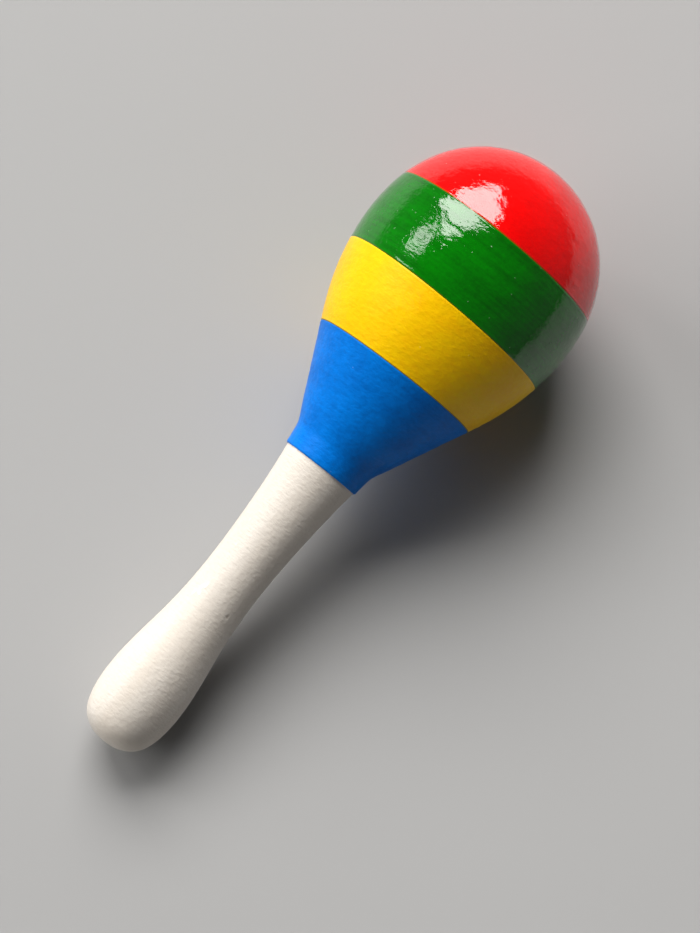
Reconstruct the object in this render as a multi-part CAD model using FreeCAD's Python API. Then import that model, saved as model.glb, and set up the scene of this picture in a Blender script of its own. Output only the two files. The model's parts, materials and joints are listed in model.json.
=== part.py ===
"""One wooden maraca, lying on its side: a turned handle glued into a hollow turned head,
a domed cap that closes the head, and the loose steel shot that rattles inside.

Every turned piece is drawn as a half outline, distance along the turning axis against
radius, and spun about that axis. The axis starts at the butt of the handle, at 0, and
ends at the crown of the head. The finished maraca is then laid down on +Z up: it rests
on the swell of the handle's knob and on the belly of the head, so its axis rises
towards the head, along +X. The origin is the middle of the bottom of the whole
maraca's box, on the surface that it lies on. Lengths are in millimetres.
"""

import FreeCAD, Part
import math
import os

# Outside of the handle: (distance from the butt, radius), a plump rounded knob that
# narrows to a waist and flares a little towards the head.
HANDLE_STATIONS = [
    (0.0, 0.0),
    (1.0, 5.05),
    (4.0, 8.62),
    (8.0, 10.2),
    (15.5, 10.95),
    (24.0, 10.4),
    (36.0, 8.8),
    (52.0, 7.95),
    (70.0, 8.65),
    (80.0, 9.5),
]
HANDLE_LENGTH = 86.2
HANDLE_END_R = 10.3

# Round tenon that carries on from the handle into the neck of the head.
TENON_R = 6.9
TENON_END = 103.0
TENON_CHAMFER = 0.8

# Neck and straight flare of the head.
NECK_START_R = 10.55
NECK_EDGE_ROUND = 0.25
NECK_TAPER = 0.1375
FLARE_START = (95.0, 12.9)
FLARE_SLOPE = 0.485
FLARE_END = 116.0
NECK_FILLET = 6.0

# Bowl and crown, beyond the straight flare: the belly is the widest point.
BOWL_STATIONS = [
    (124.0, 26.55),
    (134.0, 29.35),
    (145.5, 30.6),
    (156.0, 29.35),
    (165.0, 25.7),
    (173.0, 19.0),
    (177.5, 11.7),
]
CROWN = 180.0

# Hollow of the head: a spherical front, a flatter arc behind it and a straight funnel
# that runs parallel to the outside flare, down to a flat floor round the tenon.
CAVITY_CENTRE = 147.0
CAVITY_R = 26.3
CAVITY_BACK_R = 52.0
CAVITY_FLOOR = 102.0
BORE_R = 7.0

# Glued lap joint between the bowl and its cap.
SEAM = 150.0
LAP_R = 27.8
LAP_LENGTH = 4.0
LAP_RADIAL_GAP = 0.1
LAP_END_GAP = 0.2

# Loose shot.
SHOT_COUNT = 24
SHOT_R = 2.0
SHOT_WALL_GAP = 0.25
SHOT_PITCH = 4.4

# A size larger than the maraca, for the tools that cut the lap joint.
BEYOND = 200.0

# Points taken along an outline to find where it touches the floor, and halvings of a
# searched range, which bring it below a thousandth of a millimetre.
OUTLINE_SAMPLES = 2000
HALVINGS = 50

AXIS_START = FreeCAD.Vector(0, 0, 0)
AXIS_ALONG = FreeCAD.Vector(1, 0, 0)
FULL_TURN = 360.0


def on_outline(along, radius):
    """A point of a half outline: the turning axis is X and the radius is drawn along Y, so
    the seam of each turned face lies along the maraca's side, clear of where it rests."""
    return FreeCAD.Vector(along, radius, 0)


def line(start, end):
    return Part.LineSegment(start, end).toShape()


def polyline(points):
    return [line(a, b) for a, b in zip(points, points[1:])]


def smooth_curve(points, start_tangent, end_tangent):
    """A curve through the points that leaves and arrives in the given directions. The curve
    runs by distance, so tangents of length one keep it free of loops."""
    unused = [FreeCAD.Vector(1, 0, 0)] * (len(points) - 2)
    curve = Part.BSplineCurve()
    curve.interpolate(
        Points=points,
        Tangents=[start_tangent.normalize(), *unused, end_tangent.normalize()],
        TangentFlags=[True] + [False] * len(unused) + [True],
        Scale=False,
    )
    return curve.toShape()


def corner_arc(corner, before, after, radius):
    """Arc of the given radius tangent to two runs that meet at a corner."""
    back = (before - corner).normalize()
    ahead = (after - corner).normalize()
    half_angle = back.getAngle(ahead) / 2
    run = radius / math.tan(half_angle)
    middle_way = (back + ahead).normalize()
    depth = radius / math.sin(half_angle) - radius
    start = corner + back * run
    end = corner + ahead * run
    return Part.Arc(start, corner + middle_way * depth, end).toShape(), start, end


def turned(edges):
    """The solid that a closed half outline makes when it is spun about the axis."""
    wire = Part.Wire(Part.sortEdges(edges)[0])
    solid = Part.Face(wire).revolve(AXIS_START, AXIS_ALONG, FULL_TURN)
    if solid.Volume < 0:
        solid.reverse()
    return solid


def handle_curve():
    """Outside of the handle from the middle of its butt to the shoulder at the neck."""
    end = (HANDLE_LENGTH, HANDLE_END_R)
    points = [on_outline(*station) for station in HANDLE_STATIONS + [end]]
    radial = on_outline(0, 1)
    shoulder_slope = on_outline(1, NECK_TAPER)
    return smooth_curve(points, radial, shoulder_slope)


def handle():
    shoulder = on_outline(HANDLE_LENGTH, HANDLE_END_R)
    tenon = [
        shoulder,
        on_outline(HANDLE_LENGTH, TENON_R),
        on_outline(TENON_END - TENON_CHAMFER, TENON_R),
        on_outline(TENON_END, TENON_R - TENON_CHAMFER),
        on_outline(TENON_END, 0),
        on_outline(0, 0),
    ]
    return turned([handle_curve()] + polyline(tenon))


def lip_round_run():
    """How far the rounding of the neck's lip reaches down its end face. The lip's corner is
    a right angle opened by half of the neck's taper."""
    half_corner = (math.pi / 2 + math.atan(NECK_TAPER)) / 2
    return NECK_EDGE_ROUND / math.tan(half_corner)


def head_curve():
    """Outside of the whole head from the lip of the neck to the middle of the crown."""
    lip = on_outline(HANDLE_LENGTH, NECK_START_R)
    flare_a, flare_r = FLARE_START
    flare_end = on_outline(FLARE_END, flare_r + FLARE_SLOPE * (FLARE_END - flare_a))
    rise = flare_r - NECK_START_R - FLARE_SLOPE * (flare_a - HANDLE_LENGTH)
    bend_run = rise / (NECK_TAPER - FLARE_SLOPE)
    bend = lip + on_outline(bend_run, bend_run * NECK_TAPER)
    lip_arc, _, neck_start = corner_arc(lip, on_outline(HANDLE_LENGTH, 0), bend, NECK_EDGE_ROUND)
    bend_arc, neck_end, flare_start = corner_arc(bend, lip, flare_end, NECK_FILLET)
    crown = on_outline(CROWN, 0)
    bowl_points = [flare_end] + [on_outline(*station) for station in BOWL_STATIONS] + [crown]
    bowl = smooth_curve(bowl_points, on_outline(1, FLARE_SLOPE), on_outline(0, -1))
    return [
        lip_arc,
        line(neck_start, neck_end),
        bend_arc,
        line(flare_start, flare_end),
        bowl,
    ]


def head_blank():
    """The head before it is hollowed."""
    lip_inside = on_outline(HANDLE_LENGTH, NECK_START_R - lip_round_run())
    closing = [on_outline(CROWN, 0), on_outline(HANDLE_LENGTH, 0), lip_inside]
    return turned(head_curve() + polyline(closing))


def cavity():
    """The hollow of the head with the bore for the tenon."""
    funnel_angle = math.atan(FLARE_SLOPE)
    half_funnel_angle = funnel_angle / 2
    back_centre_r = CAVITY_R - CAVITY_BACK_R
    belly = on_outline(CAVITY_CENTRE, CAVITY_R)

    def on_back(angle):
        along = CAVITY_CENTRE - CAVITY_BACK_R * math.sin(angle)
        return on_outline(along, back_centre_r + CAVITY_BACK_R * math.cos(angle))

    funnel_top = on_back(funnel_angle)
    floor_r = funnel_top.y - FLARE_SLOPE * (funnel_top.x - CAVITY_FLOOR)
    front_middle = CAVITY_R * math.sqrt(0.5)
    front = Part.Arc(
        belly,
        on_outline(CAVITY_CENTRE + front_middle, front_middle),
        on_outline(CAVITY_CENTRE + CAVITY_R, 0),
    ).toShape()
    back = Part.Arc(funnel_top, on_back(half_funnel_angle), belly).toShape()
    bore_and_funnel = [
        on_outline(CAVITY_CENTRE + CAVITY_R, 0),
        on_outline(HANDLE_LENGTH, 0),
        on_outline(HANDLE_LENGTH, BORE_R),
        on_outline(CAVITY_FLOOR, BORE_R),
        on_outline(CAVITY_FLOOR, floor_r),
        funnel_top,
    ]
    return turned([front, back] + polyline(bore_and_funnel))


def beyond_lap(lap_r, lap_end):
    """All that lies on the cap's side of a stepped joint: outside the lap past the seam,
    and everything past the lap's end."""
    corners = [
        on_outline(SEAM, lap_r),
        on_outline(SEAM, BEYOND),
        on_outline(BEYOND, BEYOND),
        on_outline(BEYOND, 0),
        on_outline(lap_end, 0),
        on_outline(lap_end, lap_r),
        on_outline(SEAM, lap_r),
    ]
    return turned(polyline(corners))


def head_pieces():
    """The bowl with its neck, and the cap that is glued over the bowl's lip."""
    shell = head_blank().cut(cavity())
    lap_end = SEAM + LAP_LENGTH
    bowl = shell.cut(beyond_lap(LAP_R, lap_end))
    cap = shell.common(beyond_lap(LAP_R + LAP_RADIAL_GAP, lap_end + LAP_END_GAP))
    return bowl.Solids[0], cap.Solids[0]


def lowest(points, tilt):
    """Lowest reach of outline points, as height above the butt, with the axis tilted up."""
    return min(p.x * math.sin(tilt) - p.y * math.cos(tilt) for p in points)


def lying_tilt():
    """Tilt of the axis at which the knob and the belly touch one flat surface."""
    knob = handle_curve().discretize(OUTLINE_SAMPLES)
    belly = head_curve()[-1].discretize(OUTLINE_SAMPLES)
    low, high = 0.0, math.radians(20)
    for _ in range(HALVINGS):
        tilt = (low + high) / 2
        if lowest(belly, tilt) < lowest(knob, tilt):
            low = tilt
        else:
            high = tilt
    return tilt


class Pose:
    """Where the turning axis lies once the maraca is put down."""

    def __init__(self):
        self.tilt = lying_tilt()
        knob = handle_curve().discretize(OUTLINE_SAMPLES)
        crown = head_curve()[-1].discretize(OUTLINE_SAMPLES)
        across = [p.x * math.cos(self.tilt) - p.y * math.sin(self.tilt) for p in knob]
        ahead = [p.x * math.cos(self.tilt) + p.y * math.sin(self.tilt) for p in crown]
        self.butt = FreeCAD.Vector(-(min(across) + max(ahead)) / 2, 0, -lowest(knob, self.tilt))
        self.along = FreeCAD.Vector(math.cos(self.tilt), 0, math.sin(self.tilt))

    def lay(self, shape):
        laid = shape.copy()
        tilt_up = FreeCAD.Rotation(FreeCAD.Vector(0, 1, 0), -math.degrees(self.tilt))
        laid.Placement = FreeCAD.Placement(self.butt, tilt_up).multiply(laid.Placement)
        return laid

    def along_and_radius(self, point):
        """A point of the laid maraca as distance along the axis and radius from it."""
        from_butt = point - self.butt
        along = from_butt.dot(self.along)
        return along, (from_butt - self.along * along).Length


def room(along, radius):
    """Distance to the wall from a point inside the rounded part of the cavity."""
    back_centre_r = CAVITY_R - CAVITY_BACK_R
    if along < CAVITY_CENTRE:
        return CAVITY_BACK_R - math.hypot(along - CAVITY_CENTRE, radius - back_centre_r)
    return CAVITY_R - math.hypot(along - CAVITY_CENTRE, radius)


def reach(pose, middle, step):
    """Where a shot's centre stops when it moves from the middle towards the wall."""
    near, far = 0.0, BEYOND
    for _ in range(HALVINGS):
        half = (near + far) / 2
        if room(*pose.along_and_radius(middle + step * half)) > SHOT_R + SHOT_WALL_GAP:
            near = half
        else:
            far = half
    return middle + step * near


def shot_strokes(pose):
    """Rest and top place of each shot: the lowest spots of a close-packed layer on the
    cavity's floor, and the same upright column against the cavity's roof."""
    centre = pose.butt + pose.along * CAVITY_CENTRE
    up = FreeCAD.Vector(0, 0, 1)
    row_gap = SHOT_PITCH * math.sqrt(0.75)
    strokes = []
    for row in range(-3, 4):
        for place in range(-5, 6):
            shift = SHOT_PITCH / 2 if row % 2 else 0.0
            beside = FreeCAD.Vector(place * SHOT_PITCH + shift, row * row_gap, 0)
            lowest_of_back = CAVITY_BACK_R * math.sin(pose.tilt) * math.cos(pose.tilt)
            middle = centre + beside - FreeCAD.Vector(lowest_of_back, 0, 0)
            strokes.append((reach(pose, middle, -up), reach(pose, middle, up)))
    strokes.sort(key=lambda stroke: (round(stroke[0].z, 6), stroke[0].x, stroke[0].y))
    return strokes[:SHOT_COUNT]


def shot(centre):
    return Part.makeSphere(SHOT_R, centre)


def main():
    pose = Pose()
    bowl, cap = head_pieces()
    pieces = {
        "handle": pose.lay(handle()),
        "head_bowl": pose.lay(bowl),
        "head_cap": pose.lay(cap),
    }
    for number, (rest, top) in enumerate(shot_strokes(pose), start=1):
        name = f"shot_{number:02d}"
        pieces[name] = shot(rest)
        print(name, "stroke", round(top.z - rest.z, 3))
    os.makedirs("parts", exist_ok=True)
    for name, shape in pieces.items():
        shape.exportStep(f"parts/{name}.step")
    print("tilt", math.degrees(pose.tilt), "butt", pose.butt)


if __name__ == "__main__":
    main()
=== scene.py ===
import itertools
import json
import math

import bpy
import numpy as np
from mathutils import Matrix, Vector


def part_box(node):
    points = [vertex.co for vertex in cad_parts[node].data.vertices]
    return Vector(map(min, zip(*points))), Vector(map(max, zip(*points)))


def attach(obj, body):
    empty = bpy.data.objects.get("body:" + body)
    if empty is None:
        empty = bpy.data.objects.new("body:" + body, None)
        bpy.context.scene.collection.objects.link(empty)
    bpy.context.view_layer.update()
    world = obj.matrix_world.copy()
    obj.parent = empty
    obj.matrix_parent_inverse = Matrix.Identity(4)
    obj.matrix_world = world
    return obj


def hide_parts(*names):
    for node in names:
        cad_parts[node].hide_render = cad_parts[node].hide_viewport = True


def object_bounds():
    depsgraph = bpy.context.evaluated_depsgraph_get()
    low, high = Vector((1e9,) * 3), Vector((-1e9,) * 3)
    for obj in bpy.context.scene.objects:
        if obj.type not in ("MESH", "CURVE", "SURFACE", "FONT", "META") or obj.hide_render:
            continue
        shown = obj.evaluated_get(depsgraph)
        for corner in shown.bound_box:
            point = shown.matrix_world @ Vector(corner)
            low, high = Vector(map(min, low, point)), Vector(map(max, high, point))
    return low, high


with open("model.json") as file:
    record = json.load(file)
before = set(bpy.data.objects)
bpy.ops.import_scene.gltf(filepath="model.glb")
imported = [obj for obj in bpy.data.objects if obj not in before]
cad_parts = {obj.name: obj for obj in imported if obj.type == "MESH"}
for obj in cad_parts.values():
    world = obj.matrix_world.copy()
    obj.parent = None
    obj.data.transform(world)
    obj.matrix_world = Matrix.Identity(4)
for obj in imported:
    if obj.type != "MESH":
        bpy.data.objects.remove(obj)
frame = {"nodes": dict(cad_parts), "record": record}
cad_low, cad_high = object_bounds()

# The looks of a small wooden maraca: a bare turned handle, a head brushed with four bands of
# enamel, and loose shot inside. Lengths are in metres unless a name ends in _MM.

MM = 0.001

# ---------------------------------------------------------------- the turning axis
# Everything is measured as distance along the turning axis from the butt of the handle,
# radius from that axis, and angle round it: 0 is uppermost, a quarter turn is towards +Y.

grip = next(m for m in frame["record"]["mounts"] if m["name"] == "handle_grip")
AXIS = np.array(grip["axis"]) / np.linalg.norm(grip["axis"])
UP = np.array([-AXIS[2], 0.0, AXIS[0]])
SIDE = np.array([0.0, 1.0, 0.0])
TILT = math.asin(AXIS[2])


def vertices(node):
    mesh = frame["nodes"][node].data
    flat = np.zeros(len(mesh.vertices) * 3, np.float32)
    mesh.vertices.foreach_get("co", flat)
    return flat.reshape(-1, 3).astype(float)


def normals(node):
    mesh = frame["nodes"][node].data
    flat = np.zeros(len(mesh.vertices) * 3, np.float32)
    mesh.vertex_normals.foreach_get("vector", flat)
    return flat.reshape(-1, 3).astype(float)


BUTT = np.array(grip["pos_m"]) + AXIS * ((vertices("handle") - grip["pos_m"]) @ AXIS).min()
NECK = ((vertices("head_bowl") - BUTT) @ AXIS).min()
SEAM = ((vertices("head_cap") - BUTT) @ AXIS).min()


def spin(along, radius, angle):
    """Points in the row frame from places on the turned shape."""
    across = np.cos(angle)[..., None] * UP + np.sin(angle)[..., None] * SIDE
    return BUTT + along[..., None] * AXIS + radius[..., None] * across


# ---------------------------------------------------------------- outlines of the CAD

ON_PLANE = 0.002 * MM
SAME_POINT = 0.08 * MM
OUTLINE_STEP = 0.05 * MM


def side_line(node):
    """(along, radius, outward along, outward radius) of a turned CAD piece's vertices on its
    side line, where every turned surface has true points of its outline."""
    points, outward = vertices(node) - BUTT, normals(node)
    keep = (abs(points @ UP) < ON_PLANE) & (points @ SIDE > -ON_PLANE)
    points, outward = points[keep], outward[keep]
    return np.stack([points @ AXIS, points @ SIDE, outward @ AXIS, outward @ SIDE], 1)


def in_order(points, middle):
    """Points of an outline from its low end to its high end, as seen from a place on the
    axis, without those that repeat."""
    turn = np.arctan2(points[:, 1], points[:, 0] - middle)
    points = points[np.argsort(-turn)]
    kept = [points[0]]
    for point in points[1:]:
        if np.linalg.norm(point - kept[-1]) > SAME_POINT:
            kept.append(point)
    return np.array(kept)


class Outline:
    """A smooth curve through outline points, by distance run along it."""

    def __init__(self, points):
        run = np.concatenate([[0], np.cumsum(np.linalg.norm(np.diff(points, axis=0), axis=1))])
        slope = np.gradient(points, run, axis=0)
        self.length = run[-1]
        self.run = np.arange(0, self.length, OUTLINE_STEP)
        piece = np.clip(np.searchsorted(run, self.run, side="right") - 1, 0, len(run) - 2)
        width = (run[piece + 1] - run[piece])[:, None]
        t = (self.run - run[piece])[:, None] / width
        curve = (
            (1 + 2 * t) * (1 - t) ** 2 * points[piece]
            + t * (1 - t) ** 2 * width * slope[piece]
            + t * t * (3 - 2 * t) * points[piece + 1]
            + t * t * (t - 1) * width * slope[piece + 1]
        )
        curve[:, 1] = np.maximum(curve[:, 1], 0)
        self.along, self.radius = curve.T
        tangent = np.gradient(curve, self.run, axis=0)
        tangent /= np.linalg.norm(tangent, axis=1)[:, None]
        self.out_along, self.out_radius = -tangent[:, 1], tangent[:, 0]

    def run_at(self, along):
        return np.interp(along, self.along, self.run)

    def place(self, run, lift, angle):
        """Points lifted off the outline, along its outward direction."""
        along, radius, out_along, out_radius = (
            np.interp(run, self.run, values)
            for values in (self.along, self.radius, self.out_along, self.out_radius)
        )
        return spin(along + lift * out_along, np.maximum(radius + lift * out_radius, 0), angle)


def handle_outline():
    """The handle's visible outline, from the butt to the outer corner of its end."""
    line = side_line("handle")
    skin = line[(line[:, 0] < NECK + ON_PLANE) & ((line[:, 3] > 0) | (line[:, 2] < 0))]
    outermost = skin[skin[:, 0] > NECK - ON_PLANE][:, 1].max()
    skin = skin[(skin[:, 0] < NECK - ON_PLANE) | (skin[:, 1] > outermost - ON_PLANE)]
    return Outline(in_order(skin[:, :2], NECK / 2))


def tenon_corners():
    """(along, radius) of the tenon's corners, from its foot to its end."""
    line = side_line("handle")
    tenon = line[line[:, 0] > NECK + SAME_POINT][:, :2]
    corners = in_order(tenon, NECK)
    return [np.array([NECK, corners[:, 1].max()]), *corners]


def head_outline():
    """The outside of the head, from the neck's lip to the crown, over the joint."""
    bowl, cap = side_line("head_bowl"), side_line("head_cap")
    line = np.concatenate([bowl[bowl[:, 0] < SEAM - SAME_POINT], cap])
    middle = (SEAM + NECK) / 2
    faces_out = (line[:, 0] - middle) * line[:, 2] + line[:, 1] * line[:, 3] > 0
    line = line[faces_out]
    end_face = line[:, 0] < NECK + ON_PLANE
    bore = end_face & (line[:, 1] < line[end_face][:, 1].max() - ON_PLANE)
    return Outline(in_order(line[~bore][:, :2], middle))


# ---------------------------------------------------------------- random relief

# The last argument of cloud and of waves is a seed. Large primes spread the lattice's cells
# over the table, and the lattice is swung so that it doesn't line up with the seam.
TABLE_MASK = 4095
HASH = np.array([73856093, 19349663, 83492791])
LATTICE_SWING = math.radians(31)


def cloud(points, along_size, around_size, seed):
    """A smooth random field from -1 to 1 over points in the row frame. It changes over
    along_size along the axis and over around_size across it."""
    values = np.random.default_rng(seed).uniform(-1, 1, TABLE_MASK + 1)
    local = points - BUTT
    place = np.stack(
        [local @ AXIS / along_size, local @ UP / around_size, local @ SIDE / around_size], -1
    )
    cos, sin = math.cos(LATTICE_SWING), math.sin(LATTICE_SWING)
    place[..., 1:] = place[..., 1:] @ np.array([[cos, -sin], [sin, cos]])
    cell = np.floor(place).astype(np.int64)
    part = place - cell
    part = part * part * (3 - 2 * part)
    total = np.zeros(place.shape[:-1])
    for corner in itertools.product((0, 1), repeat=3):
        weight = np.prod(np.where(corner, part, 1 - part), axis=-1)
        entry = np.bitwise_xor.reduce((cell + corner) * HASH, axis=-1) & TABLE_MASK
        total += weight * values[entry]
    return total


def waves(angle, seed, most):
    """A random wander round the axis, mostly within -1 to 1, of up to most waves."""
    random = np.random.default_rng(seed)
    total = np.zeros_like(angle)
    for turns in range(1, most + 1):
        height = random.uniform(-1, 1)
        start = random.uniform(0, 2 * np.pi)
        total += height * np.cos(turns * angle + start) / turns
    return total / 2


# ---------------------------------------------------------------- meshes of turned skins

SHARP_EDGE = math.radians(40)


def round_angles(count):
    return np.linspace(0, 2 * np.pi, count, endpoint=False)


def skin_mesh(name, rows, first_pole=None, last_pole=None, closed=False):
    """A mesh from rows of points round the axis, with each row joined to the next, and its
    ends closed by a pole point or joined to each other."""
    count, around = len(rows), len(rows[0])
    points = [p for row in rows for p in row]
    faces = []
    joins = [(i, i + 1) for i in range(count - 1)] + [(count - 1, 0)] * closed
    for low, high in joins:
        for j in range(around):
            k = (j + 1) % around
            here, above = low * around, high * around
            faces.append((here + j, above + j, above + k, here + k))
    if first_pole is not None:
        points.append(first_pole)
        pole = len(points) - 1
        faces += [(pole, j, (j + 1) % around) for j in range(around)]
    if last_pole is not None:
        points.append(last_pole)
        pole, base = len(points) - 1, (count - 1) * around
        faces += [(pole, base + (j + 1) % around, base + j) for j in range(around)]
    mesh = bpy.data.meshes.new(name)
    mesh.from_pydata([tuple(p) for p in points], [], faces)
    mesh.shade_smooth()
    mesh.set_sharp_from_angle(angle=SHARP_EDGE)
    mesh.validate()
    piece = bpy.data.objects.new(name, mesh)
    bpy.context.scene.collection.objects.link(piece)
    return piece


def point_values(piece, name, values):
    attribute = piece.data.attributes.new(name, "FLOAT", "POINT")
    flat = np.zeros(len(piece.data.vertices), np.float32)
    flat[: len(values)] = values
    attribute.data.foreach_set("value", flat)


def spaced(start, end, step, fine, reach):
    """Places from start to end, a step apart, and closer within reach of both ends."""
    close = np.arange(0, reach, fine)
    steps = max(2, round((end - start - 2 * reach) / step))
    middle = np.linspace(start + reach, end - reach, steps)
    return np.concatenate([start + close, middle, end - close[::-1]])


# ---------------------------------------------------------------- the enamel bands

FILM = 0.16 * MM
AROUND = 420
RING_STEP = 0.42 * MM
EDGE_REACH = 0.6 * MM
EDGE_FINE = 0.06 * MM
EDGE_DIP, EDGE_DIP_REACH = 0.045 * MM, 0.16 * MM
EDGE_BEAD, EDGE_BEAD_PLACE, EDGE_BEAD_REACH = 0.03 * MM, 0.42 * MM, 0.2 * MM
EDGE_WANDER = 0.13 * MM
EDGE_WAVES = 9
LIP_GAP = 0.02 * MM
CROWN_GAP = 0.35 * MM
INNER_SKIP = 4
JOINT_REACH = 0.45 * MM
JOINT_STEEPNESS = 4
FAR_FROM_JOINT = 8

# Where each colour ends, in millimetres from the butt, and how far its edge leans, in
# degrees: with a positive lean it lies nearer the crown on the -Y side.
BLUE_END_MM, BLUE_LEAN = 115.5, 0.75
YELLOW_END_MM, YELLOW_LEAN = 135.3, -1.44
GREEN_END_MM, GREEN_LEAN = 155.9, -1.19


def edge_runs(outline, end_mm, lean, seed, angle):
    """Distance along the outline of a colour's edge, all the way round."""
    run = outline.run_at(end_mm * MM)
    radius = np.interp(run, outline.run, outline.radius)
    leaning = -math.tan(math.radians(lean)) * radius * np.sin(angle)
    return run + leaning + EDGE_WANDER * waves(angle, seed, EDGE_WAVES)


def head_relief(points, run, seam_run):
    """How far the dried enamel stands off the smooth turned head: slow unevenness, brush
    marks round the head, orange peel, and the step where the cap meets the bowl."""
    slow = 0.030 * MM * cloud(points, 17 * MM, 15 * MM, 1)
    brush = 0.018 * MM * cloud(points, 1.2 * MM, 15 * MM, 2)
    peel = 0.030 * MM * cloud(points, 1.3 * MM, 2.2 * MM, 3)
    fine = 0.018 * MM * cloud(points, 0.8 * MM, 1.1 * MM, 4)
    from_seam = (run - seam_run) / JOINT_REACH
    groove = -0.05 * MM * np.exp(-from_seam**2)
    near_seam = np.clip(from_seam, -FAR_FROM_JOINT, FAR_FROM_JOINT)
    step = 0.04 * MM / (1 + np.exp(-JOINT_STEEPNESS * near_seam))
    return slow + brush + peel + fine + groove + step


def edge_profile(distance):
    """A film sinks at its rim and stands in a low bead just inside it."""
    sink = -EDGE_DIP * np.exp(-((distance / EDGE_DIP_REACH) ** 2))
    bead = EDGE_BEAD * np.exp(-(((distance - EDGE_BEAD_PLACE) / EDGE_BEAD_REACH) ** 2))
    return sink + bead


def enamel_band(name, outline, low, high):
    """One colour's dried film, from one edge to the next. high is None on the crown."""
    angle = round_angles(AROUND)
    top = np.full(AROUND, outline.length - CROWN_GAP) if high is None else high
    places = spaced(0, (top - low).mean(), RING_STEP, EDGE_FINE, EDGE_REACH)
    run = low + (top - low) * (places / places[-1])[:, None]
    everywhere = np.broadcast_to(angle, run.shape)
    base = outline.place(run, np.zeros_like(run), everywhere)
    from_low = run - low
    relief = head_relief(base, run, outline.run_at(SEAM)) + edge_profile(from_low)
    if high is not None:
        relief = relief + edge_profile(top - run)
    outer = list(outline.place(run, FILM + relief, everywhere))
    inner = list(base[::INNER_SKIP])
    from_low_inside = from_low[::INNER_SKIP][::-1]
    if high is None:
        outer_tip, inner_tip = (
            outline.place(np.array([outline.length]), np.array([lift]), np.zeros(1))[0]
            for lift in (FILM, 0.0)
        )
        rows = inner[::-1] + outer
        rim = np.concatenate([from_low_inside, from_low])
        piece = skin_mesh(name, rows, first_pole=inner_tip, last_pole=outer_tip)
    else:
        rows = outer + [base[-1]] + inner[::-1]
        rim = np.concatenate([from_low, from_low[-1:], from_low_inside])
        piece = skin_mesh(name, rows, closed=True)
    point_values(piece, "from_low_edge", rim.ravel())
    return piece


# ---------------------------------------------------------------- the handle

HANDLE_AROUND = 220
HANDLE_STEP = 0.4 * MM
TIP_GAP = 0.3 * MM
NECK_SETTLE = 1.5 * MM

# Small marks of use: (mm from the butt, degrees round, long mm, wide mm, height mm).
MARKS = [
    (46.2, 21, 0.9, 0.30, 0.15),
    (44.8, 27, 1.2, 0.35, 0.18),
    (43.6, 22, 0.6, 0.30, 0.14),
    (43.0, 33, 0.8, 0.30, 0.15),
    (43.1, -45, 0.55, 0.55, -0.30),
    (43.1, -45, 1.0, 1.0, 0.12),
    (58.5, 26, 0.7, 0.35, 0.06),
    (65.4, 34, 0.6, 0.30, 0.06),
    (70.0, 160, 0.9, 0.5, -0.16),
    (22.0, -120, 1.1, 0.5, -0.14),
    (12.0, 95, 0.6, 0.6, -0.14),
]


def handle_relief(points):
    """Slow unevenness, rings that the gouge left, and the nap of the bare wood."""
    slow = 0.10 * MM * cloud(points, 26 * MM, 18 * MM, 11)
    turning = 0.017 * MM * cloud(points, 0.9 * MM, 6 * MM, 12)
    wrinkles = 0.022 * MM * cloud(points, 0.9 * MM, 2.2 * MM, 13)
    return slow + turning + wrinkles


def handle_marks(run, angle, outline):
    """Height of the small nicks, and of the fibres that they raise."""
    along = np.interp(run, outline.run, outline.along)
    radius = np.interp(run, outline.run, outline.radius)
    total = np.zeros(run.shape)
    for along_mm, degrees, length_mm, width_mm, height_mm in MARKS:
        swing = (angle - math.radians(degrees) + np.pi) % (2 * np.pi) - np.pi
        far = ((along - along_mm * MM) / (length_mm * MM)) ** 2
        far = far + (swing * radius / (width_mm * MM)) ** 2
        total = total + height_mm * MM * np.exp(-far)
    return total


def turned_handle():
    """The handle from its butt to the neck, and its tenon. The relief dies away at the neck."""
    outline = handle_outline()
    angle = round_angles(HANDLE_AROUND)
    places = np.linspace(TIP_GAP, outline.length, round(outline.length / HANDLE_STEP))
    run = np.broadcast_to(places[:, None], (len(places), HANDLE_AROUND))
    everywhere = np.broadcast_to(angle, run.shape)
    base = outline.place(run, np.zeros(run.shape), everywhere)
    marks = handle_marks(run, everywhere, outline)
    settle = np.clip((outline.length - run) / NECK_SETTLE, 0, 1)
    rows = list(outline.place(run, (handle_relief(base) + marks) * settle, everywhere))
    corners = tenon_corners()
    for along, radius in corners:
        rows.append(spin(np.full(HANDLE_AROUND, along), np.full(HANDLE_AROUND, radius), angle))
    tenon_end = BUTT + corners[-1][0] * AXIS
    tip = outline.place(np.zeros(1), np.zeros(1), np.zeros(1))[0]
    handle = skin_mesh("turned_handle", rows, first_pole=tip, last_pole=tenon_end)
    point_values(handle, "mark_height", marks.ravel())
    return handle


# ---------------------------------------------------------------- the shot

BALL_DETAIL = 4
BALL_FILL, BALL_UNEVEN, BALL_GRAIN = 0.985, 0.012, 0.003
FLAT_REACH = 0.95
FLAT_DEPTH = 0.945
BALL_SEED = 100
BALL_APART = 9 * MM


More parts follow.
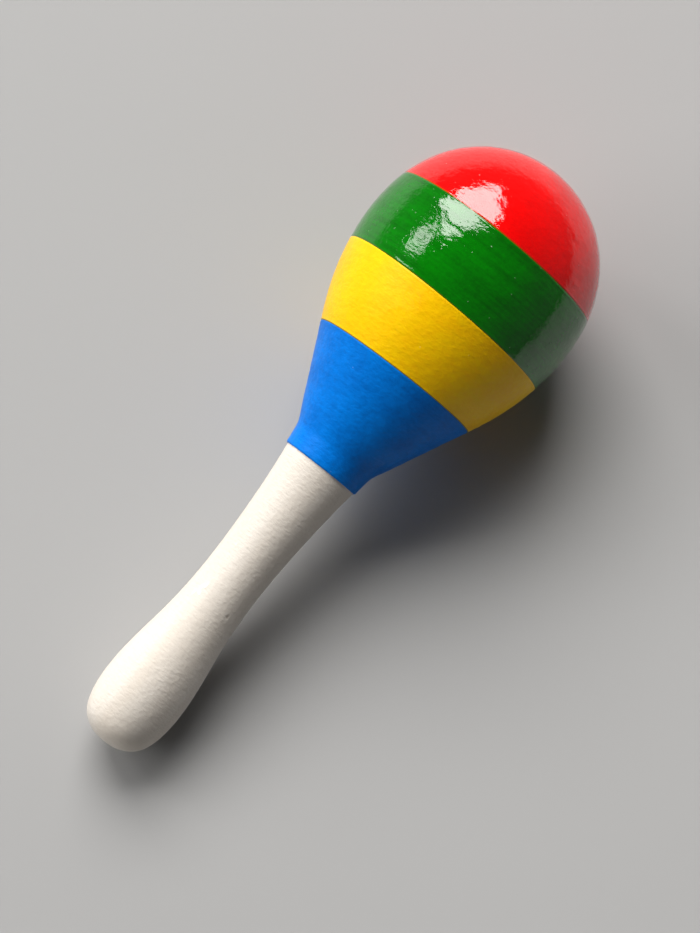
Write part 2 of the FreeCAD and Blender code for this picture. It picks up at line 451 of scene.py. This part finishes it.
def rattle_ball(node, number):
    """A small cast ball, slightly out of round, with one little flat where it was cut."""
    low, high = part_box(node)
    centre, radius = (low + high) / 2, (high - low).x / 2
    random = np.random.default_rng(BALL_SEED + number)
    bpy.ops.mesh.primitive_ico_sphere_add(subdivisions=BALL_DETAIL, radius=1)
    ball = bpy.context.object
    ball.name = ball.data.name = f"rattle_ball_{number:02d}"
    directions = np.array([v.co.normalized() for v in ball.data.vertices])
    flat_side = random.normal(size=3)
    flat_side /= np.linalg.norm(flat_side)
    sample = BUTT + directions * radius + number * BALL_APART
    uneven = BALL_UNEVEN * cloud(sample, 1.6 * MM, 1.6 * MM, 21)
    grain = BALL_GRAIN * cloud(sample, 0.4 * MM, 0.4 * MM, 22)
    size = radius * (BALL_FILL + uneven + grain)
    facing = directions @ flat_side
    on_flat = facing > FLAT_REACH
    size[on_flat] = np.minimum(size[on_flat], radius * FLAT_DEPTH / facing[on_flat])
    for vertex, direction, reach in zip(ball.data.vertices, directions, size):
        vertex.co = centre + Vector(direction * reach)
    ball.data.shade_smooth()
    return ball


# ---------------------------------------------------------------- materials


class Nodes:
    """A material's node tree with short calls for what these finishes share."""

    def __init__(self, name):
        self.material = bpy.data.materials.new(name)
        self.material.use_nodes = True
        self.tree = self.material.node_tree
        self.shader = self.tree.nodes["Principled BSDF"]
        self.here = self.add("ShaderNodeTexCoord").outputs["Object"]

    def add(self, kind, **settings):
        node = self.tree.nodes.new(kind)
        for key, value in settings.items():
            setattr(node, key, value)
        return node

    def link(self, output, target):
        self.tree.links.new(output, target)

    def axis_place(self, along_size, around_size):
        """Coordinates along and across the turning axis, in units of the given sizes."""
        laid_level = self.add("ShaderNodeMapping", vector_type="POINT")
        laid_level.inputs["Rotation"].default_value = (0, TILT, 0)
        scaled = self.add("ShaderNodeMapping", vector_type="POINT")
        scaled.inputs["Scale"].default_value = (1 / along_size, 1 / around_size, 1 / around_size)
        self.link(self.here, laid_level.inputs["Vector"])
        self.link(laid_level.outputs["Vector"], scaled.inputs["Vector"])
        return scaled.outputs["Vector"]

    def noise(self, along_size, around_size, detail=3.0, roughness=0.55):
        texture = self.add("ShaderNodeTexNoise")
        texture.inputs["Scale"].default_value = 1.0
        texture.inputs["Detail"].default_value = detail
        texture.inputs["Roughness"].default_value = roughness
        self.link(self.axis_place(along_size, around_size), texture.inputs["Vector"])
        return texture.outputs["Fac"]

    def spread(self, value, low, high, to_low=0.0, to_high=1.0, smooth=False):
        """value's stretch from low to high, laid onto to_low to to_high."""
        node = self.add("ShaderNodeMapRange", clamp=True)
        if smooth:
            node.interpolation_type = "SMOOTHSTEP"
        numbers = {"From Min": low, "From Max": high, "To Min": to_low, "To Max": to_high}
        for key, number in numbers.items():
            node.inputs[key].default_value = number
        self.link(value, node.inputs["Value"])
        return node.outputs["Result"]

    def maths(self, operation, first, second):
        node = self.add("ShaderNodeMath", operation=operation)
        for socket, value in zip(node.inputs, (first, second)):
            if isinstance(value, (int, float)):
                socket.default_value = value
            else:
                self.link(value, socket)
        return node.outputs["Value"]

    def mix(self, share, first, second):
        """A blend of two colours. The numbers are those of a Mix node's colour sockets."""
        node = self.add("ShaderNodeMix", data_type="RGBA")
        for place, value in ((0, share), (6, first), (7, second)):
            socket = node.inputs[place]
            if isinstance(value, tuple):
                socket.default_value = (*value, 1.0)
            elif isinstance(value, (int, float)):
                socket.default_value = value
            else:
                self.link(value, socket)
        return node.outputs[2]

    def attribute(self, name):
        return self.add("ShaderNodeAttribute", attribute_name=name).outputs["Fac"]

    def bump(self, height, distance, under=None):
        node = self.add("ShaderNodeBump")
        node.inputs["Strength"].default_value = 1.0
        node.inputs["Distance"].default_value = distance
        self.link(height, node.inputs["Height"])
        if under is not None:
            self.link(under, node.inputs["Normal"])
        return node.outputs["Normal"]

    def specks(self, cell, size, share):
        """Sparse dots: 1 in a dot, 0 elsewhere. share of the cells hold one."""
        texture = self.add("ShaderNodeTexVoronoi", feature="F1")
        texture.inputs["Scale"].default_value = 1.0
        self.link(self.axis_place(cell, cell), texture.inputs["Vector"])
        dot = self.spread(texture.outputs["Distance"], size / cell, 0.5 * size / cell)
        split = self.add("ShaderNodeSeparateColor")
        self.link(texture.outputs["Color"], split.inputs["Color"])
        chosen = self.maths("LESS_THAN", split.outputs["Red"], share)
        return self.maths("MULTIPLY", dot, chosen)


# Dust nibs stand up in the film and roughen it; their faint pale tint is a painted glint.
NIB_CELL, NIB_SIZE, NIB_HEIGHT = 1.9 * MM, 0.24 * MM, 0.06 * MM
NIB_GLINT_COLOUR = (0.75, 0.85, 0.70)
RIM_CLEAR, RIM_FULL = 0.10 * MM, 0.42 * MM
PAINT_IOR, WOOD_IOR = 1.52, 1.45


def enamel(name, colour, deep, specks, streaks, roughness, shine, relief, low_rim=None):
    """Brushed enamel: brush streaks, thin and thick places, dust nibs in the film with a faint
    pale tint that is a painted glint, a low rim where the colour below shows through, and a
    dried skin that ripples."""
    n = Nodes(name)
    brushed = n.spread(n.noise(0.9 * MM, 24 * MM, detail=5, roughness=0.65), 0.36, 0.68, 0, streaks)
    patches = n.spread(n.noise(8 * MM, 11 * MM, detail=2), 0.35, 0.7, 0, 0.35)
    mottle = n.spread(n.noise(1.0 * MM, 1.4 * MM, detail=3), 0.4, 0.7, 0, 0.22)
    depth = n.maths("ADD", n.maths("ADD", brushed, patches), mottle)
    paint = n.mix(depth, colour, deep)
    if low_rim is not None:
        close = n.spread(n.attribute("from_low_edge"), RIM_CLEAR, RIM_FULL, 0.9, 0.0, smooth=True)
        paint = n.mix(close, paint, low_rim)
    nibs_and_glints = n.specks(NIB_CELL, NIB_SIZE, specks)
    # The pale tint on the nibs is a painted glint.
    paint = n.mix(n.maths("MULTIPLY", nibs_and_glints, 0.07), paint, NIB_GLINT_COLOUR)
    n.link(paint, n.shader.inputs["Base Color"])
    haze = n.noise(4 * MM, 6 * MM, detail=5, roughness=0.7)
    haze = n.spread(haze, 0.4, 0.72, roughness, roughness + 0.07)
    n.link(n.maths("ADD", haze, n.maths("MULTIPLY", nibs_and_glints, 0.3)), n.shader.inputs["Roughness"])
    ripple = n.bump(n.noise(0.85 * MM, 1.5 * MM, detail=2.5), relief)
    dried = n.bump(n.noise(0.4 * MM, 6 * MM, detail=2), 0.06 * relief, under=ripple)
    n.link(n.bump(nibs_and_glints, NIB_HEIGHT, under=dried), n.shader.inputs["Normal"])
    n.shader.inputs["IOR"].default_value = PAINT_IOR
    n.shader.inputs["Specular IOR Level"].default_value = shine
    return n.material


RAISED_FIBRE = (0.93, 0.91, 0.87)


def bare_wood(name, pale, warm, dark, tool_marks):
    """Unfinished close-grained turned wood: grain along the axis, fine tool marks across it,
    pale raised fibres at small marks, and painted shade darkening their nicks and pits, on a
    piece that has mark_height."""
    n = Nodes(name)
    grain = n.noise(26 * MM, 1.1 * MM, detail=5, roughness=0.6)
    figure = n.noise(60 * MM, 7 * MM, detail=2)
    across = n.noise(0.6 * MM, 3.2 * MM, detail=3, roughness=0.6)
    fuzz = n.noise(0.9 * MM, 1.2 * MM, detail=3, roughness=0.6)
    wood = n.mix(n.spread(figure, 0.35, 0.65, 0, 0.7), pale, warm)
    wood = n.mix(n.spread(grain, 0.45, 0.8, 0, 0.4), wood, warm)
    wood = n.mix(n.spread(across, 0.5, 0.72, 0, 0.09), wood, dark)
    wood = n.mix(n.spread(fuzz, 0.52, 0.75, 0, 0.07), wood, dark)
    height = n.attribute("mark_height")
    wood = n.mix(n.spread(height, 0.02 * MM, 0.10 * MM, 0, 0.8), wood, RAISED_FIBRE)
    # Painted shade: the nicks and pits are darkened where they sink.
    wood = n.mix(n.spread(height, -0.03 * MM, -0.18 * MM, 0, 0.5), wood, dark)
    n.link(wood, n.shader.inputs["Base Color"])
    n.link(n.spread(grain, 0.3, 0.8, 0.5, 0.68), n.shader.inputs["Roughness"])
    grooves = n.bump(across, tool_marks)
    nap = n.bump(fuzz, 1.5 * tool_marks, under=grooves)
    n.link(nap, n.shader.inputs["Normal"])
    n.shader.inputs["IOR"].default_value = WOOD_IOR
    n.shader.inputs["Sheen Weight"].default_value = 0.12
    n.shader.inputs["Sheen Roughness"].default_value = 0.4
    return n.material


BRIGHT_STEEL, DULL_STEEL = (0.50, 0.49, 0.48), (0.30, 0.29, 0.29)


def cast_steel(name):
    """Cast steel shot, dull in patches and slightly pitted."""
    n = Nodes(name)
    patina = n.noise(0.9 * MM, 0.9 * MM, detail=4)
    metal = n.mix(n.spread(patina, 0.35, 0.7), BRIGHT_STEEL, DULL_STEEL)
    n.link(metal, n.shader.inputs["Base Color"])
    n.link(n.spread(patina, 0.3, 0.7, 0.24, 0.45), n.shader.inputs["Roughness"])
    n.link(n.bump(n.noise(0.25 * MM, 0.25 * MM), 0.008 * MM), n.shader.inputs["Normal"])
    n.shader.inputs["Metallic"].default_value = 1.0
    return n.material


FLOOR_TONES = (0.38, 0.378, 0.376), (0.41, 0.408, 0.406)
# The dark far tone, and the distance where it starts, are painted shade for light that falls off
# away from the maraca.
FAR_FLOOR_PAINTED_SHADE = (0.10, 0.099, 0.098)
PALE_FLOOR_REACH, PAINTED_SHADE_START = 0.16, 0.9


def floor_paint(name):
    """Pale near the maraca and darker far away: the darkening is painted shade, for light that
    falls off with distance.
    """
    n = Nodes(name)
    tone = n.mix(n.noise(220 * MM, 220 * MM, detail=2), *FLOOR_TONES)
    length = n.add("ShaderNodeVectorMath", operation="LENGTH")
    n.link(n.here, length.inputs[0])
    # Painted shade: the floor darkens with distance from its middle.
    far = n.spread(length.outputs["Value"], PALE_FLOOR_REACH, PAINTED_SHADE_START, smooth=True)
    n.link(n.mix(far, tone, FAR_FLOOR_PAINTED_SHADE), n.shader.inputs["Base Color"])
    n.shader.inputs["Roughness"].default_value = 0.75
    return n.material


RED, DEEP_RED = (1.0, 0.0, 0.0), (0.66, 0.0, 0.0)
GREEN, DEEP_GREEN = (0.0, 0.20, 0.0), (0.0, 0.085, 0.0)
YELLOW, DEEP_YELLOW = (1.0, 0.62, 0.0), (0.97, 0.43, 0.0)
BLUE, DEEP_BLUE = (0.0, 0.215, 0.80), (0.0, 0.09, 0.42)

# Where two colours meet, the upper one thins and lets the lower one through.
GREEN_OVER_YELLOW = (0.06, 0.13, 0.0)
RED_OVER_GREEN = (0.30, 0.07, 0.0)
YELLOW_OVER_BLUE = (0.10, 0.12, 0.02)

GLOSS = {"roughness": 0.05, "shine": 0.75, "relief": 0.08 * MM}
SATIN_RELIEF = 0.14 * MM

HANDLE_WOOD = (0.785, 0.725, 0.65), (0.735, 0.66, 0.57), (0.44, 0.34, 0.26)
HEAD_WOOD = (0.70, 0.56, 0.40), (0.60, 0.44, 0.28), (0.36, 0.23, 0.13)
WOOD_TOOL_MARKS = 0.10 * MM


def enamels():
    """The four paints, in the order in which they are brushed on from the neck."""
    blue = enamel(
        "blue_enamel", BLUE, DEEP_BLUE, specks=0.08, streaks=0.12,
        roughness=0.38, shine=0.12, relief=SATIN_RELIEF,
    )
    yellow = enamel(
        "yellow_enamel", YELLOW, DEEP_YELLOW, specks=0.05, streaks=0.08,
        roughness=0.34, shine=0.2, relief=SATIN_RELIEF, low_rim=YELLOW_OVER_BLUE,
    )
    green = enamel(
        "green_enamel", GREEN, DEEP_GREEN, specks=0.25, streaks=0.4,
        low_rim=GREEN_OVER_YELLOW, **GLOSS,
    )
    red = enamel(
        "red_enamel", RED, DEEP_RED, specks=0.08, streaks=0.15,
        low_rim=RED_OVER_GREEN, **GLOSS,
    )
    return blue, yellow, green, red


def wear(piece, material):
    piece.data.materials.clear()
    piece.data.materials.append(material)


# ---------------------------------------------------------------- making the maraca


def make_head():
    outline = head_outline()
    angle = round_angles(AROUND)
    lip = np.full(AROUND, LIP_GAP)
    blue_end = edge_runs(outline, BLUE_END_MM, BLUE_LEAN, 31, angle)
    yellow_end = edge_runs(outline, YELLOW_END_MM, YELLOW_LEAN, 32, angle)
    green_end = edge_runs(outline, GREEN_END_MM, GREEN_LEAN, 33, angle)
    blue, yellow, green, red = enamels()
    bands = {
        "enamel_blue": (lip, blue_end, blue),
        "enamel_yellow": (blue_end, yellow_end, yellow),
        "enamel_green": (yellow_end, green_end, green),
        "enamel_red": (green_end, None, red),
    }
    for name, (low, high, material) in bands.items():
        band = enamel_band(name, outline, low, high)
        wear(band, material)
        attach(band, "maraca")


def make_handle():
    handle = turned_handle()
    wear(handle, bare_wood("handle_wood", *HANDLE_WOOD, WOOD_TOOL_MARKS))
    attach(handle, "maraca")
    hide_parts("handle")


def make_shells():
    raw = bare_wood("head_raw_wood", *HEAD_WOOD, WOOD_TOOL_MARKS)
    for node in ("head_bowl", "head_cap"):
        wear(frame["nodes"][node], raw)


def make_shot():
    steel = cast_steel("shot_steel")
    shots = sorted(n for n in frame["nodes"] if n.startswith("shot_"))
    for number, node in enumerate(shots, start=1):
        ball = rattle_ball(node, number)
        wear(ball, steel)
        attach(ball, node)
        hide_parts(node)


make_head()
make_handle()
make_shells()
make_shot()

# ---------------------------------------------------------------- floor, light and camera

centre = (cad_low + cad_high) / 2
FLOOR_SIZE = 16.0


def lay_floor():
    under_paint = (centre.x, centre.y, cad_low.z - FILM)
    bpy.ops.mesh.primitive_plane_add(size=FLOOR_SIZE, location=under_paint)
    floor = bpy.context.object
    floor.name = "studio_floor"
    wear(floor, floor_paint("floor_painted_falloff"))


def softbox(name, azimuth, elevation, distance, size, radiance, colour):
    """A rectangular light that faces the maraca. Azimuth turns from +X towards +Y."""
    width, height = size
    light = bpy.data.lights.new(name, "AREA")
    light.shape = "RECTANGLE"
    light.size, light.size_y = width, height
    light.energy = radiance * math.pi * width * height
    light.color = colour
    lamp = bpy.data.objects.new(name, light)
    bpy.context.scene.collection.objects.link(lamp)
    a, e = math.radians(azimuth), math.radians(elevation)
    towards = Vector((math.cos(e) * math.cos(a), math.cos(e) * math.sin(a), math.sin(e)))
    lamp.location = centre + towards * distance
    lamp.rotation_euler = towards.to_track_quat("Z", "Y").to_euler()
    return lamp


DAYLIGHT, ROOM_LIGHT = (1.0, 0.985, 0.965), (1.0, 0.99, 0.975)
SKY_COLOUR = (0.95, 0.97, 1.0, 1)
HORIZON_LIGHT, ZENITH_LIGHT = 0.13, 0.05
ZENITH_START = 0.8


def light_surroundings():
    """A dim room, a little lighter at the horizon than overhead."""
    world = bpy.data.worlds.new("studio")
    bpy.context.scene.world = world
    world.use_nodes = True
    tree = world.node_tree
    background = tree.nodes["Background"]
    background.inputs["Color"].default_value = SKY_COLOUR
    direction = tree.nodes.new("ShaderNodeTexCoord")
    split = tree.nodes.new("ShaderNodeSeparateXYZ")
    fall = tree.nodes.new("ShaderNodeMapRange")
    fall.inputs["From Min"].default_value = 0.0
    fall.inputs["From Max"].default_value = ZENITH_START
    fall.inputs["To Min"].default_value = HORIZON_LIGHT
    fall.inputs["To Max"].default_value = ZENITH_LIGHT
    tree.links.new(direction.outputs["Generated"], split.inputs["Vector"])
    tree.links.new(split.outputs["Z"], fall.inputs["Value"])
    tree.links.new(fall.outputs["Result"], background.inputs["Strength"])


def light_studio():
    """A large window, a small one beside it, and a broad soft fill that gloss doesn't show."""
    softbox("window", 44, 44, 4.0, size=(3.0, 2.7), radiance=9.0, colour=DAYLIGHT)
    softbox("side_window", 91, 38, 4.0, size=(0.8, 1.2), radiance=6.0, colour=DAYLIGHT)
    room = softbox("open_side", 118, 29, 5.0, size=(5.0, 3.2), radiance=2.9, colour=ROOM_LIGHT)
    room.visible_glossy = False
    light_surroundings()


CAMERA_PITCH, CAMERA_HEADING = 13.64, -51.15
CAMERA_DISTANCE = 0.612
CAMERA_LENS, CAMERA_SENSOR = 96.46, 36
CAMERA_NEAR = 0.01
AIM_OFFSET = Vector((-0.0006, -0.0068, 0.0))


def place_camera():
    camera = bpy.data.cameras.new("camera")
    camera.lens = CAMERA_LENS
    camera.sensor_width = CAMERA_SENSOR
    camera.clip_start = CAMERA_NEAR
    holder = bpy.data.objects.new("camera", camera)
    bpy.context.scene.collection.objects.link(holder)
    holder.rotation_euler = (math.radians(CAMERA_PITCH), 0, math.radians(CAMERA_HEADING))
    back = holder.rotation_euler.to_matrix() @ Vector((0, 0, 1))
    holder.location = centre + AIM_OFFSET + back * CAMERA_DISTANCE
    bpy.context.scene.camera = holder


lay_floor()
light_studio()
place_camera()
bpy.context.scene.view_settings.view_transform = "Standard"
